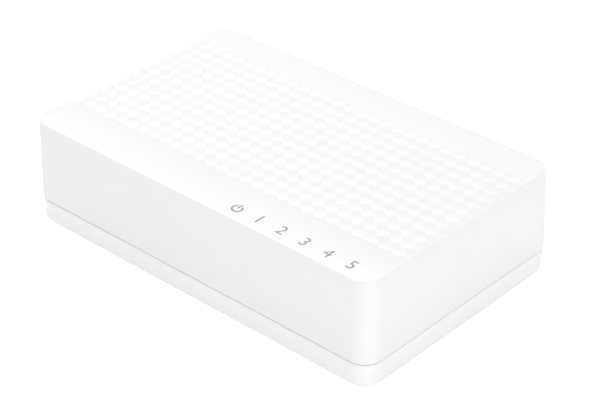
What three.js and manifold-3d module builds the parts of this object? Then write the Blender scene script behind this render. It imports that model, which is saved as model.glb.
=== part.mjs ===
// A five-port desktop network switch, in millimetres, +Z up.
// The origin is under the middle of the case, on the surface that the feet stand on.
// -Y is the front, where the lamp marks are, and +Y is the back, where the sockets are.

import * as THREE from 'three';
import { mergeVertices } from 'three/addons/utils/BufferGeometryUtils.js';
import Module from 'manifold-3d';

const wasm = await Module();
wasm.setup();

// ---------------------------------------------------------------- driving dimensions

const caseLength = 100;
const caseDepth = 62;
const caseHeight = 26;
const footHeight = 1;
const cornerRadius = 4.5;
const wall = 2;
const fit = 0.3; // clearance between pieces that rest on, or sit in, one another
const solder = 0.1; // how far a part's body stands off the circuit board

const top = footHeight + caseHeight;
const partLine = footHeight + 6.2; // where the cover ends
const partGap = 0.4; // width of the dark line between cover and base
const baseInset = 0.55; // how far the lower shell steps in below the line
const baseFloor = footHeight + wall;
const coverDraft = Math.tan(THREE.MathUtils.degToRad(1.2));
const baseDraft = -Math.tan(THREE.MathUtils.degToRad(2)); // the lower shell narrows downwards

const board = { length: 92.8, depth: 55, bottom: 5.5, thickness: 1.6 };
board.top = board.bottom + board.thickness;
const seat = board.top + solder; // height that the electronic parts stand at

const portCount = 5;
const portPitch = 16;
const firstPortX = 26.4; // the ports run from here towards -X
const socketFaceY = 30.3; // socket faces, just inside the back of the case
const portX = Array.from({ length: portCount }, (_, i) => firstPortX - i * portPitch);
const powerX = 41.5;

const lampCount = 6;
const firstLampX = 10.9;
const lampPitch = 6.26;
const lampY = -26.8;
const lampX = Array.from({ length: lampCount }, (_, i) => firstLampX + i * lampPitch);

// The band of diamonds across the top: raised ones on a square lattice, sunken ones between them.
const diamonds = { pitch: 3.46, columns: 29, rows: 12, frontY: -17.5, web: 0.3, depth: 0.25 };
const marks = { penWidth: 0.36, depth: 0.2 };
const lampWindow = { radius: 1.5, skin: 0.8 }; // thin places in the cover that light shines through

const screwPlaces = [[-42, -8], [42, -8]];
const supportPlaces = [[-42, 12], [42, 12], [-42, -23], [42, -23]];
const footPlaces = {
  front_left: [-40, -22],
  front_right: [40, -22],
  back_left: [-40, 22],
  back_right: [40, 22],
};
const keyholePlaces = [[-25, -2], [25, -2]];

// ---------------------------------------------------------------- shaping helpers

/** A closed three.js geometry as a solid that can be joined and cut. */
function solid(geometry) {
  geometry.deleteAttribute('normal');
  geometry.deleteAttribute('uv');
  const welded = mergeVertices(geometry, 1e-4);
  const corners = welded.index.array;
  const kept = [];
  for (let i = 0; i < corners.length; i += 3) {
    const [a, b, c] = corners.slice(i, i + 3);
    if (a !== b && b !== c && c !== a) kept.push(a, b, c);
  }
  return new wasm.Manifold(new wasm.Mesh({
    numProp: 3,
    vertProperties: new Float32Array(welded.attributes.position.array),
    triVerts: new Uint32Array(kept),
  }));
}

/** All the solids of a list as one. */
function join(solids) {
  return solids.reduce((whole, next) => whole.add(next));
}

/** A block between two limits on each axis. */
function block([x0, x1], [y0, y1], [z0, z1]) {
  const geometry = new THREE.BoxGeometry(x1 - x0, y1 - y0, z1 - z0);
  return solid(geometry.translate((x0 + x1) / 2, (y0 + y1) / 2, (z0 + z1) / 2));
}

/** An upright round post at a place, between two heights. */
function post(radius, [x, y], [z0, z1], sides = 16) {
  const geometry = new THREE.CylinderGeometry(radius, radius, z1 - z0, sides);
  return solid(geometry.rotateX(Math.PI / 2).translate(x, y, (z0 + z1) / 2));
}

/** A round bar along Y at a height, for bores and pins that face the back. */
function barAlongY(radius, z, [y0, y1], sides = 32) {
  const geometry = new THREE.CylinderGeometry(radius, radius, y1 - y0, sides);
  return solid(geometry.translate(0, (y0 + y1) / 2, z));
}

/** A rectangle with round corners, centred on a place. */
function roundedRectangle(length, depth, radius, [x, y] = [0, 0]) {
  const shape = new THREE.Shape();
  const [w, d] = [length / 2 - radius, depth / 2 - radius];
  shape.absarc(x + w, y + d, radius, 0, Math.PI / 2);
  shape.absarc(x - w, y + d, radius, Math.PI / 2, Math.PI);
  shape.absarc(x - w, y - d, radius, Math.PI, 1.5 * Math.PI);
  shape.absarc(x + w, y - d, radius, 1.5 * Math.PI, 2 * Math.PI);
  return shape;
}

/** A flat shape, or several that don't touch, raised between two heights. */
function raise(shape, [z0, z1], curveSegments = 4) {
  const settings = { depth: z1 - z0, bevelEnabled: false, curveSegments };
  return solid(new THREE.ExtrudeGeometry(shape, settings).translate(0, 0, z0));
}

/** A rounded block with rounded-over ends, full size at sizeZ, whose sides lean in with height. */
function leaningBlock(length, depth, radius, [z0, z1], edge, sizeZ, slope) {
  const settings = {
    depth: z1 - z0 - 2 * edge,
    bevelEnabled: edge > 0,
    bevelThickness: edge,
    bevelSize: edge,
    bevelOffset: -edge,
    bevelSegments: 2,
    curveSegments: 6,
  };
  const geometry = new THREE.ExtrudeGeometry(roundedRectangle(length, depth, radius), settings);
  geometry.translate(0, 0, z0 + edge);
  const point = geometry.attributes.position;
  for (let i = 0; i < point.count; i += 1) {
    const lean = slope * (point.getZ(i) - sizeZ);
    point.setX(i, point.getX(i) * (1 - (2 * lean) / length));
    point.setY(i, point.getY(i) * (1 - (2 * lean) / depth));
  }
  return solid(geometry);
}

/** Points of a round arc, angles in degrees, anticlockwise when the second is larger. */
function arc([x, y], radius, from, to, steps = 8) {
  return Array.from({ length: steps + 1 }, (_, i) => {
    const angle = THREE.MathUtils.degToRad(from + ((to - from) * i) / steps);
    return [x + radius * Math.cos(angle), y + radius * Math.sin(angle)];
  });
}

/** The outline of a pen stroke of a given width through a list of points, with mitred bends. */
function stroke(points, width) {
  const path = points.map(([x, y]) => new THREE.Vector2(x, y));
  const along = path.slice(1).map((point, i) => point.clone().sub(path[i]).normalize());
  const across = path.map((_, i) => {
    const before = along[Math.max(i - 1, 0)];
    const after = along[Math.min(i, along.length - 1)];
    const mid = before.clone().add(after).normalize();
    return new THREE.Vector2(-mid.y, mid.x).multiplyScalar(width / 2 / mid.dot(before));
  });
  const left = path.map((point, i) => point.clone().add(across[i]));
  const right = path.map((point, i) => point.clone().sub(across[i])).reverse();
  return new THREE.Shape([...right, ...left].reverse());
}

// ---------------------------------------------------------------- materials

function finish(color, roughness, metalness = 0) {
  return new THREE.MeshStandardMaterial({ color, roughness, metalness });
}

const whitePlastic = finish(0xf3f3f1, 0.45);
const blackPlastic = finish(0x1b1b1d, 0.5);
const chipPlastic = finish(0x26272a, 0.6);
const greyRubber = finish(0x55575a, 0.9);
const paper = finish(0xe3e4e2, 0.8);
const boardGreen = finish(0x1d5a3a, 0.55);
const clearPlastic = finish(0xdfe8ea, 0.15);
const lampPlastic = finish(0xe9e3c2, 0.35);
const ferrite = finish(0x3a3b3e, 0.7);
const ceramicBlue = finish(0x2f5fa8, 0.4);
const gold = finish(0xd9b25c, 0.25, 1);
const nickel = finish(0xc3c5c8, 0.3, 1);
const steel = finish(0x9fa3a8, 0.35, 1);

const desktopSwitch = new THREE.Group();

/** Add one named piece to the switch, at a place, with its own copy of a finish. */
function add(name, body, material, [x, y, z] = [0, 0, 0]) {
  const { vertProperties, triVerts } = body.getMesh();
  const geometry = new THREE.BufferGeometry();
  geometry.setAttribute('position', new THREE.BufferAttribute(vertProperties, 3));
  geometry.setIndex(new THREE.BufferAttribute(triVerts, 1));
  geometry.computeVertexNormals();
  const mesh = new THREE.Mesh(geometry, material.clone());
  mesh.name = name;
  mesh.position.set(x, y, z);
  desktopSwitch.add(mesh);
}

// ---------------------------------------------------------------- sockets

const jack = { width: 15.6, height: 13.4, depth: 16.3 };
const jackRoom = { halfWidth: 5.9, floor: 3.6, roof: 10.4, depth: 13 };
const contact = { y: -2.6, z: 11.4, pitch: 1.02, width: 0.46, thickness: 0.3, count: 8 };

/** Housing of an eight-way modular socket: its face is at y = 0 and it stands on z = 0. */
function jackHousing() {
  const mouth = 0.1; // cuts start a little outside the face
  const shell = block([-jack.width / 2, jack.width / 2], [-jack.depth, 0], [0, jack.height]);
  const { halfWidth, floor, roof, depth } = jackRoom;
  const plugRoom = block([-halfWidth, halfWidth], [-depth, mouth], [floor, roof]);
  const latchShoulder = block([-3.1, 3.1], [-9.5, mouth], [floor - 1.3, floor + 0.1]);
  const latchTip = block([-1.7, 1.7], [-9.5, mouth], [floor - 2.4, floor - 1.2]);
  const contactRoom = block([-4.7, 4.7], [-12.5, -1.6], [roof - 0.1, roof + 2]);
  const pegs = [-5.1, 5.1].map((x) => post(1.3, [x, -8.9], [-1.9, 0.5], 12));
  return join([shell, ...pegs]).subtract(join([plugRoom, latchShoulder, latchTip, contactRoom]));
}

/** Spring comb of a socket, hinged about X at its own origin, reaching back and down into the plug room. */
function jackContacts() {
  const slope = Math.tan(THREE.MathUtils.degToRad(22));
  const side = stroke([[0, 0], [-5.6, -5.6 * slope], [-7.9, -2.75]], contact.thickness);
  const settings = { depth: contact.width, bevelEnabled: false };
  const fingers = Array.from({ length: contact.count }, (_, i) => {
    const geometry = new THREE.ExtrudeGeometry(side, settings);
    geometry.applyMatrix4(new THREE.Matrix4().makeBasis(
      new THREE.Vector3(0, 1, 0),
      new THREE.Vector3(0, 0, 1),
      new THREE.Vector3(1, 0, 0),
    ));
    const x = (i - (contact.count - 1) / 2) * contact.pitch;
    return solid(geometry.translate(x - contact.width / 2, 0, 0));
  });
  const root = block([-4.4, 4.4], [-0.3, 0.3], [-0.3, 0.3]);
  return join([root, ...fingers]);
}

const powerJack = { width: 9, height: 11, depth: 14, boreZ: 6.5, boreRadius: 3.2, boreDepth: 10.5 };
const leaf = { y: -10.9, z: 2.6, reach: 7.5, rise: 1.2, width: 2.4, thickness: 0.3 };

/** Housing of the round power socket: its face is at y = 0 and it stands on z = 0. */
function powerJackHousing() {
  const { width, height, depth, boreZ, boreRadius, boreDepth } = powerJack;
  const shell = block([-width / 2, width / 2], [-depth, 0], [0, height]);
  const bore = barAlongY(boreRadius, boreZ, [-boreDepth, 0.1]);
  const pinHole = barAlongY(1.35, boreZ, [-depth - 0.1, -boreDepth + 0.1], 16);
  const leafSlot = block([-1.5, 1.5], [-11.6, -2], [1.4, boreZ - boreRadius + 0.9]);
  return shell.subtract(join([bore, pinHole, leafSlot]));
}

/** Centre pin of the power socket, along Y, with a rounded nose. */
function powerJackPin() {
  const radius = 1.05;
  const [tail, nose] = [-14.3, -1.3];
  const round = arc([0, nose - radius], radius, 0, 90, 5);
  const profile = [[0, tail], [radius, tail], ...round].map(([x, y]) => new THREE.Vector2(x, y));
  return solid(new THREE.LatheGeometry(profile, 16).translate(0, 0, powerJack.boreZ));
}

/** Leaf contact of the power socket, hinged about X at its own origin, rising into the bore. */
function powerJackLeaf() {
  const half = leaf.width / 2;
  const side = stroke([[0, 0], [leaf.reach - 0.9, leaf.rise], [leaf.reach, leaf.rise - 0.3]], leaf.thickness);
  const geometry = new THREE.ExtrudeGeometry(side, { depth: leaf.width, bevelEnabled: false });
  geometry.applyMatrix4(new THREE.Matrix4().makeBasis(
    new THREE.Vector3(0, 1, 0),
    new THREE.Vector3(0, 0, 1),
    new THREE.Vector3(1, 0, 0),
  ));
  const root = block([-half, half], [-0.35, 0.35], [-0.35, 0.35]);
  return root.add(solid(geometry.translate(-half, 0, 0)));
}

// ---------------------------------------------------------------- case

/** Upper shell: leaning walls, patterned band on top, lamp marks, socket notches, screw bosses. */
function topCover() {
  const below = partLine - 4; // the outer block starts lower and is trimmed at the part line
  const outer = leaningBlock(caseLength, caseDepth, cornerRadius, [below, top], 0.45, partLine, coverDraft);
  const inner = [caseLength - 2 * wall, caseDepth - 2 * wall, cornerRadius - wall];
  const hollow = leaningBlock(...inner, [below, top - wall], 0, partLine, coverDraft);
  const trim = block([-60, 60], [-40, 40], [below - 1, partLine]);
  const bosses = screwPlaces.map((place) => post(3, place, [board.top + 0.4, top - 1]));
  const ribs = screwPlaces.map(([x, y]) => {
    const inWall = Math.sign(x) * (caseLength / 2 - wall / 2);
    return block([Math.min(x, inWall), Math.max(x, inWall)], [y - 0.75, y + 0.75], [board.top + 2, top - 1]);
  });
  const pilots = screwPlaces.map((place) => post(1.5, place, [board.top - 1, 16], 12));
  const windowHeights = [top - wall - 1, top - lampWindow.skin];
  const windows = lampX.map((x) => post(lampWindow.radius, [x, lampY], windowHeights, 12));
  const shell = join([outer.subtract(hollow).subtract(trim), ...bosses, ...ribs]);
  return shell.subtract(join([...pilots, ...windows, sunkenDiamonds(), lampMarks(), ...socketNotches()]));
}

/** The sunken diamonds of the band: full ones between the raised rows, half ones along both edges. */
function sunkenDiamonds() {
  const { pitch, columns, rows, frontY, web, depth } = diamonds;
  const half = (pitch - web) / 2;
  const shapes = [];
  for (let column = 0; column < columns - 1; column += 1) {
    const x = (column + 1 - columns / 2) * pitch;
    for (let row = 0; row <= rows; row += 1) {
      const y = frontY + (row - 0.5) * pitch;
      const front = row === 0 ? [] : [[x, y - half]];
      const back = row === rows ? [] : [[x, y + half]];
      const outline = [...front, [x + half, y], ...back, [x - half, y]];
      shapes.push(new THREE.Shape(outline.map((point) => new THREE.Vector2(...point))));
    }
  }
  return raise(shapes, [top - depth, top + 1]);
}

/** Sunk marks over the lamps: a power symbol, then the port numbers. */
function lampMarks() {
  const strokes = [
    [arc([0, -0.1], 1.1, 130, 410, 16), [[0, 0.2], [0, 1.6]]],
    [[[-0.55, 0.9], [0.1, 1.45], [0.1, -1.5]]],
    [[...arc([0, 0.7], 0.75, 170, -30), [-0.75, -1.3], [0.95, -1.3]]],
    [arc([0, 0.7], 0.65, 160, -80), arc([0, -0.65], 0.75, 80, -160)],
    [[[0.4, 1.45], [-0.75, -0.6], [0.95, -0.6]], [[0.4, 1.45], [0.4, -1.5]]],
    [[[0.75, 1.35], [-0.55, 1.35], [-0.65, 0.1], ...arc([0, -0.55], 0.8, 110, -150)]],
  ];
  return join(strokes.flatMap((lines, i) => lines.map((line) => (
    raise(stroke(line, marks.penWidth), [top - marks.depth, top + 1]).translate([lampX[i], lampY, 0])
  ))));
}

/** Notches in the back wall that let the cover drop over the sockets. */
function socketNotches() {
  const row = [portX[portCount - 1] - jack.width / 2 - 0.4, portX[0] + jack.width / 2 + 0.4];
  const power = [powerX - powerJack.width / 2 - fit, powerX + powerJack.width / 2 + fit];
  const through = [caseDepth / 2 - 4, caseDepth / 2 + 1];
  return [
    block(row, through, [partLine - 1, seat + jack.height + fit]),
    block(power, through, [partLine - 1, seat + powerJack.height + fit]),
  ];
}

/** Lower shell: tray with a locating lip, vent slots, wall-screw keyholes, posts and foot recesses. */
function bottomCase() {
  const [length, depth] = [caseLength - 2 * baseInset, caseDepth - 2 * baseInset];
  const rim = partLine - partGap;
  const thick = wall + baseInset;
  const outer = leaningBlock(length, depth, cornerRadius - 0.4, [footHeight, rim + 4], 1, rim, baseDraft);
  const [inLength, inDepth, inRadius] = [length - 2 * thick, depth - 2 * thick, cornerRadius - thick];
  const lipThickness = 0.8;
  const inside = roundedRectangle(inLength, inDepth, inRadius);
  const lipOutside = roundedRectangle(
    inLength + 2 * lipThickness, inDepth + 2 * lipThickness, inRadius + lipThickness,
  );
  const lip = raise(lipOutside, [rim - 1, partLine + 1.2], 6);
  const tray = outer.subtract(block([-60, 60], [-40, 40], [rim, top])).add(lip);
  const sillDepth = [socketFaceY - wall, socketFaceY];
  const sillHeight = [rim - 1, seat - fit];
  const rowEnds = [portX[portCount - 1] - jack.width / 2, portX[0] + jack.width / 2];
  const powerEnds = [powerX - powerJack.width / 2, powerX + powerJack.width / 2];
  const sills = [block(rowEnds, sillDepth, sillHeight), block(powerEnds, sillDepth, sillHeight)];
  const lipGapX = [rowEnds[0] - lipThickness, powerEnds[1] + lipThickness / 2];
  const lipGap = block(lipGapX, [caseDepth / 2 - 6, caseDepth / 2], [rim, top]);
  const hollow = raise(inside, [baseFloor, top], 6);
  const screwPosts = screwPlaces.map((place) => post(4.3, place, [baseFloor - 1, board.bottom - fit]));
  const supports = supportPlaces.map((place) => post(2.5, place, [baseFloor - 1, board.bottom - fit], 12));
  const shell = join([tray.subtract(lipGap).subtract(hollow), ...sills, ...screwPosts, ...supports]);
  return shell.subtract(join([...baseHoles(), ...baseRecesses()]));
}

/** Holes through the base: vent slots, keyholes and screw holes. */
function baseHoles() {
  const through = [footHeight - 1, baseFloor + 4];
  const vents = Array.from({ length: 9 }, (_, i) => (
    raise(roundedRectangle(1.8, 20, 0.9, [(i - 4) * 4, 2]), through, 2)
  ));
  const keyholes = keyholePlaces.flatMap(([x, y]) => [
    post(3.6, [x, y], through),
    raise(roundedRectangle(3.6, 9, 1.8, [x, y + 3.6]), through),
  ]);
  const screwHoles = screwPlaces.map((place) => post(1.5, place, through, 12));
  return [...vents, ...keyholes, ...screwHoles];
}

/** Shallow recesses under the base for the feet, the rating label and the screw heads. */
function baseRecesses() {
  const depth = [footHeight - 1, footHeight + 0.5];
  const feet = Object.values(footPlaces).map((place) => post(5.3, place, depth, 24));
  const heads = screwPlaces.map((place) => post(3.1, place, [footHeight - 1, footHeight + 2.4]));
  const label = raise(roundedRectangle(44.6, 9.6, 1.3, [0, -21]), depth);
  return [...feet, ...heads, label];
}

/** Foot: a low rubber disc with a softened rim. */
function foot() {
  const radius = 5;
  const profile = [[0, 0], [radius - 0.4, 0], [radius, 0.4], [radius, 1.2], [0, 1.2]];
  const geometry = new THREE.LatheGeometry(profile.map(([x, y]) => new THREE.Vector2(x, y)), 24);
  return solid(geometry.rotateX(Math.PI / 2));
}

/** Pan-head screw, head down at z = 0, with a cross recess and a pointed tip. */
function caseScrew() {
  const outline = [[0, 0], [2.3, 0], [2.8, 0.6], [2.8, 1.8], [1.2, 1.8], [1.2, 11.2], [0, 12.4]];
  const geometry = new THREE.LatheGeometry(outline.map(([x, y]) => new THREE.Vector2(x, y)), 20);
  const cross = block([-1.5, 1.5], [-0.3, 0.3], [-1, 0.9]).add(block([-0.3, 0.3], [-1.5, 1.5], [-1, 0.9]));
  return solid(geometry.rotateX(Math.PI / 2)).subtract(cross);
}

// ---------------------------------------------------------------- electronics

/** Circuit board, with holes for the case screws and the socket pegs. */
function circuitBoard() {
  const plate = raise(roundedRectangle(board.length, board.depth, 2), [board.bottom, board.top]);
  const through = [board.bottom - 1, board.top + 1];
  const screwHoles = screwPlaces.map((place) => post(1.8, place, through, 12));
  const pegHoles = portX.flatMap((x) => [-5.1, 5.1].map((side) => (
    post(1.6, [x + side, socketFaceY - 8.9], through, 12)
  )));
  return plate.subtract(join([...screwHoles, ...pegHoles]));
}

/** A moulded part with a row of flat leads out of two or four of its sides. */
function leadedPart({ length, depth, height, leads, pitch, reach, fourSides = false }) {
  const body = block([-length / 2, length / 2], [-depth / 2, depth / 2], [0.1, height]);
  const lead = 0.36;
  const along = Array.from({ length: leads }, (_, i) => (i - (leads - 1) / 2) * pitch);
  const ends = (half) => [[-half - reach, 0.5 - half], [half - 0.5, half + reach]];
  const across = ends(depth / 2).flatMap((span) => along.map((x) => (
    block([x - lead / 2, x + lead / 2], span, [0, height * 0.4])
  )));
  const lengthwise = ends(length / 2).flatMap((span) => along.map((y) => (
    block(span, [y - lead / 2, y + lead / 2], [0, height * 0.4])
  )));
  return join([body, ...across, ...(fourSides ? lengthwise : [])]);
}

/** Upright electrolytic capacitor, with its rolled groove and square foot. */
function bulkCapacitor() {
  const groove = [[3.1, 1.5], [2.85, 1.8], [3.1, 2.1]];
  const outline = [[0, 0.4], [3.1, 0.4], ...groove, [3.1, 7.3], [2.8, 7.6], [0, 7.6]];
  const can = new THREE.LatheGeometry(outline.map(([x, y]) => new THREE.Vector2(x, y)), 24);
  return solid(can.rotateX(Math.PI / 2)).add(block([-3.3, 3.3], [-3.3, 3.3], [0, 0.9]));
}

/** Power inductor: a square ferrite block with rounded corners and a round core face. */
function inductor() {
  const groove = post(2.7, [0, 0], [3.7, 5]).subtract(post(1.9, [0, 0], [3, 6]));
  return raise(roundedRectangle(7, 7, 1.2), [0, 4], 3).subtract(groove);
}

/** Voltage regulator: moulded body with three leads in front and one wide tab behind. */
function regulator() {
  const body = block([-3.25, 3.25], [-1.75, 1.75], [0.1, 1.7]);
  const leads = [-2.3, 0, 2.3].map((x) => block([x - 0.35, x + 0.35], [-3.4, 0], [0, 0.6]));
  const tab = block([-1.5, 1.5], [0, 3.4], [0, 0.6]);
  return join([body, tab, ...leads]);
}

/** Quartz crystal: a long low can on a flange. */
function crystal() {
  const flange = raise(roundedRectangle(11.4, 4.8, 2.35), [0, 0.5]);
  return flange.add(raise(roundedRectangle(10.3, 3.9, 1.9), [0.3, 3.5]));
}

/** Disc capacitor between the board's signal and case grounds, on two legs. */
function surgeCapacitor() {
  const disc = barAlongY(3.8, 5.6, [-1.6, 1.6], 24);
  const legs = [-2.5, 2.5].map((x) => post(0.3, [x, 0], [-1.7, 5.6], 8));
  return join([disc, ...legs]);
}

/** Holes in the board for the disc capacitor's legs. */
function legHoles([x, y]) {
  return join([-2.5, 2.5].map((side) => post(0.6, [x + side, y], [board.bottom - 1, board.top + 1], 8)));
}

/** Clear comb that carries each lamp's light from the board up to its mark. */
function lightGuide() {
  const [low, high] = [seat + 1.1 + fit, top - lampWindow.skin - fit];
  const rods = lampX.map((x) => post(1.1, [x, lampY], [low, high], 12));
  const bridge = block([lampX[0], lampX[lampCount - 1]], [lampY - 0.6, lampY + 0.6], [high - 5, high - 3]);
  return join([bridge, ...rods]);
}

// ---------------------------------------------------------------- assembly

const surgePlace = [-33, -6];

add('top_cover', topCover(), whitePlastic);
add('bottom_case', bottomCase(), whitePlastic);
for (const [place, [x, y]] of Object.entries(footPlaces)) {
  add(`foot_${place}`, foot(), greyRubber, [x, y, 0]);
}
add('rating_label', raise(roundedRectangle(44, 9, 1), [0, 0.15]), paper, [0, -21, footHeight + 0.05]);
screwPlaces.forEach(([x, y], i) => add(`case_screw_${i + 1}`, caseScrew(), steel, [x, y, footHeight + fit]));

add('circuit_board', circuitBoard().subtract(legHoles(surgePlace)), boardGreen);
portX.forEach((x, i) => {
  add(`jack_housing_${i + 1}`, jackHousing(), blackPlastic, [x, socketFaceY, seat]);
  add(`jack_contacts_${i + 1}`, jackContacts(), gold, [x, socketFaceY + contact.y, seat + contact.z]);
});
add('power_jack_housing', powerJackHousing(), blackPlastic, [powerX, socketFaceY, seat]);
add('power_jack_pin', powerJackPin(), nickel, [powerX, socketFaceY, seat]);
add('power_jack_leaf', powerJackLeaf(), nickel, [powerX, socketFaceY + leaf.y, seat + leaf.z]);

const chip = { length: 10, depth: 10, height: 1.5, leads: 12, pitch: 0.75, reach: 1, fourSides: true };
const transformer = { length: 12.7, depth: 6.6, height: 5.2, leads: 6, pitch: 1.9, reach: 1.1 };
const memory = { length: 4.9, depth: 3.9, height: 1.5, leads: 4, pitch: 1.27, reach: 1 };
add('switch_chip', leadedPart(chip), chipPlastic, [-6, -9, seat]);
portX.forEach((x, i) => add(`magnetics_${i + 1}`, leadedPart(transformer), chipPlastic, [x, 7.5, seat]));
add('settings_memory', leadedPart(memory), chipPlastic, [-21, -9, seat]);
add('crystal', crystal(), steel, [-7, -20, seat]);
add('regulator', regulator(), chipPlastic, [12, -7, seat]);
add('inductor', inductor(), ferrite, [22, -7, seat]);
add('bulk_capacitor_1', bulkCapacitor(), steel, [31.5, -3, seat]);
add('bulk_capacitor_2', bulkCapacitor(), steel, [31.5, -12, seat]);
add('surge_capacitor', surgeCapacitor(), ceramicBlue, [...surgePlace, seat]);

lampX.forEach((x, i) => {
  const name = i === 0 ? 'led_power' : `led_port_${i}`;
  add(name, block([-0.8, 0.8], [-0.4, 0.4], [0, 0.75]), lampPlastic, [x, lampY, seat]);
});
add('light_guide', lightGuide(), clearPlastic);

export default desktopSwitch;
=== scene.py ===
# %% [markdown]
# # A desktop network switch
#
# The object is a small white box in two moulded shells, with five network sockets and a power
# socket in its back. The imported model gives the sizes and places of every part, and this script
# models what the eye sees around it: soft edges, the diamond-patterned lid, sockets with spring
# wires, and a finish for each material.

# %% Load the frame
import math

import bmesh
import bpy
from mathutils import Matrix, Vector


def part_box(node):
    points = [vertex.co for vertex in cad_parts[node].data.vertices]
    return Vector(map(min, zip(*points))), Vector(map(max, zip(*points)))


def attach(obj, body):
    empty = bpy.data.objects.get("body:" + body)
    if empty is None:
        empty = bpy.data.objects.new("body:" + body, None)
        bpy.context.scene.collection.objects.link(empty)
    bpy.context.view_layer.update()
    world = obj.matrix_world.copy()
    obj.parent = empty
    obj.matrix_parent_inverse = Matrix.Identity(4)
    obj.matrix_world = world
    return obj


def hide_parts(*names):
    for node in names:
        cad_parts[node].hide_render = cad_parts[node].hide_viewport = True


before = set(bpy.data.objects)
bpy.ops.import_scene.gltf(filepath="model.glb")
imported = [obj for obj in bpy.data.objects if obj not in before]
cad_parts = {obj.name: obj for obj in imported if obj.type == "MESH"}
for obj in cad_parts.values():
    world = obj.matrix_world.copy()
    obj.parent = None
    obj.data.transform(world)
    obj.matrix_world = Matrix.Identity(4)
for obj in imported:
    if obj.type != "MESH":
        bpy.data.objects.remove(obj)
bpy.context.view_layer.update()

MM = 0.001

# %% [markdown]
# ## Working by hand, in code
#
# Blender's operators act on whatever is selected, so each step first clears the selection. These
# helpers add a primitive at its size and place, open it in edit mode, and select its faces or
# edges by where they are and which way they point.

# %% Modelling helpers
def mm(x, y, z):
    """A place given in millimetres, in Blender's metres."""
    return Vector((x, y, z)) * MM


def clear_selection():
    """Leave edit mode and select nothing."""
    if bpy.context.mode != "OBJECT":
        bpy.ops.object.mode_set(mode="OBJECT")
    bpy.ops.object.select_all(action="DESELECT")


def pick(*pieces):
    """Select only these pieces; the first is the active one."""
    clear_selection()
    for piece in pieces:
        piece.select_set(True)
    bpy.context.view_layer.objects.active = pieces[0]
    return pieces[0]


def settle(piece, name):
    """Put a piece's place, turn and scale into its mesh."""
    pick(piece)
    piece.name = name
    piece.data.name = name
    bpy.ops.object.transform_apply(location=True, rotation=True, scale=True)
    return piece


def add_block(name, low, high):
    """A block between two corners."""
    clear_selection()
    low, high = Vector(low), Vector(high)
    bpy.ops.mesh.primitive_cube_add(size=1, location=(low + high) / 2)
    piece = bpy.context.object
    piece.scale = high - low
    return settle(piece, name)


def add_rod(name, radius, low, high, sides=32, along="Z"):
    """A round bar between the centres of its two ends, along one axis."""
    clear_selection()
    low, high = Vector(low), Vector(high)
    turn = {"Z": (0, 0, 0), "Y": (math.pi / 2, 0, 0), "X": (0, math.pi / 2, 0)}[along]
    bpy.ops.mesh.primitive_cylinder_add(
        vertices=sides, radius=radius, depth=(high - low).length,
        location=(low + high) / 2, rotation=turn)
    return settle(bpy.context.object, name)


def edit(piece):
    """Open a piece in edit mode."""
    pick(piece)
    bpy.ops.object.mode_set(mode="EDIT")


def done():
    """Close edit mode."""
    bpy.ops.object.mode_set(mode="OBJECT")


def select_faces(piece, rule):
    """Select only the faces whose middle and normal meet the rule; returns how many."""
    bpy.ops.mesh.select_mode(type="FACE")
    bpy.ops.mesh.select_all(action="DESELECT")
    mesh = bmesh.from_edit_mesh(piece.data)
    mesh.normal_update()
    chosen = [f for f in mesh.faces if rule(f.calc_center_median() / MM, f.normal)]
    for face in chosen:
        face.select_set(True)
    bmesh.update_edit_mesh(piece.data)
    return len(chosen)


def select_edges(piece, rule):
    """Select only the edges whose ends, in millimetres, and bend meet the rule; returns a count."""
    bpy.ops.mesh.select_mode(type="EDGE")
    bpy.ops.mesh.select_all(action="DESELECT")
    mesh = bmesh.from_edit_mesh(piece.data)
    mesh.normal_update()
    chosen = [e for e in mesh.edges
              if rule(e.verts[0].co / MM, e.verts[1].co / MM, math.degrees(e.calc_face_angle(0)))]
    for edge in chosen:
        edge.select_set(True)
    bmesh.update_edit_mesh(piece.data)
    return len(chosen)


def soften(width, segments=2):
    """Round over the selected edges."""
    bpy.ops.mesh.bevel(offset=width * MM, segments=segments, profile=0.5)


def pull_out(step):
    """Extrude the selected faces along a step, in metres."""
    bpy.ops.mesh.extrude_region_move(TRANSFORM_OT_translate={"value": step})


def scale_about(centre, factors):
    """Resize what is selected about a centre, in millimetres."""
    bpy.ops.transform.resize(value=factors, center_override=Vector(centre) * MM)


def cut(piece, *cutters, operation="DIFFERENCE"):
    """Cut the cutters out of a piece, or join them to it, and remove them."""
    for cutter in cutters:
        pick(piece)
        tool = piece.modifiers.new("cut", "BOOLEAN")
        tool.operation = operation
        tool.object = cutter
        tool.solver = "EXACT"
        bpy.ops.object.modifier_apply(modifier=tool.name)
        bpy.data.objects.remove(cutter)
    return piece


def merge_pieces(name, *pieces):
    """Make several objects one mesh."""
    pick(*pieces)
    if len(pieces) > 1:
        bpy.ops.object.join()
    pieces[0].name = name
    return pieces[0]


def soft_bevel(piece, width, segments=2, angle=40):
    """Round over every edge sharper than an angle, with a modifier that is then applied."""
    pick(piece)
    tool = piece.modifiers.new("soft edges", "BEVEL")
    tool.width = width * MM
    tool.segments = segments
    tool.limit_method = "ANGLE"
    tool.angle_limit = math.radians(angle)
    tool.harden_normals = False
    bpy.ops.object.modifier_apply(modifier=tool.name)


def copy_piece(piece, name, shift):
    """A copy with its own mesh, moved over in millimetres."""
    pick(piece)
    bpy.ops.object.duplicate(linked=False)
    other = bpy.context.object
    other.location = Vector(shift) * MM
    return settle(other, name)


def finish_piece(piece, body, material, nodes, angle=30):
    """Give a finished piece its finish, its body, and the CAD nodes it stands for."""
    pick(piece)
    bpy.ops.object.shade_smooth_by_angle(angle=math.radians(angle))
    if not piece.data.materials:
        piece.data.materials.append(material)
    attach(piece, body)
    if nodes:
        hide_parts(*nodes)
    triangles = sum(len(face.vertices) - 2 for face in piece.data.polygons)
    print(piece.name, "triangles", triangles)


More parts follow.
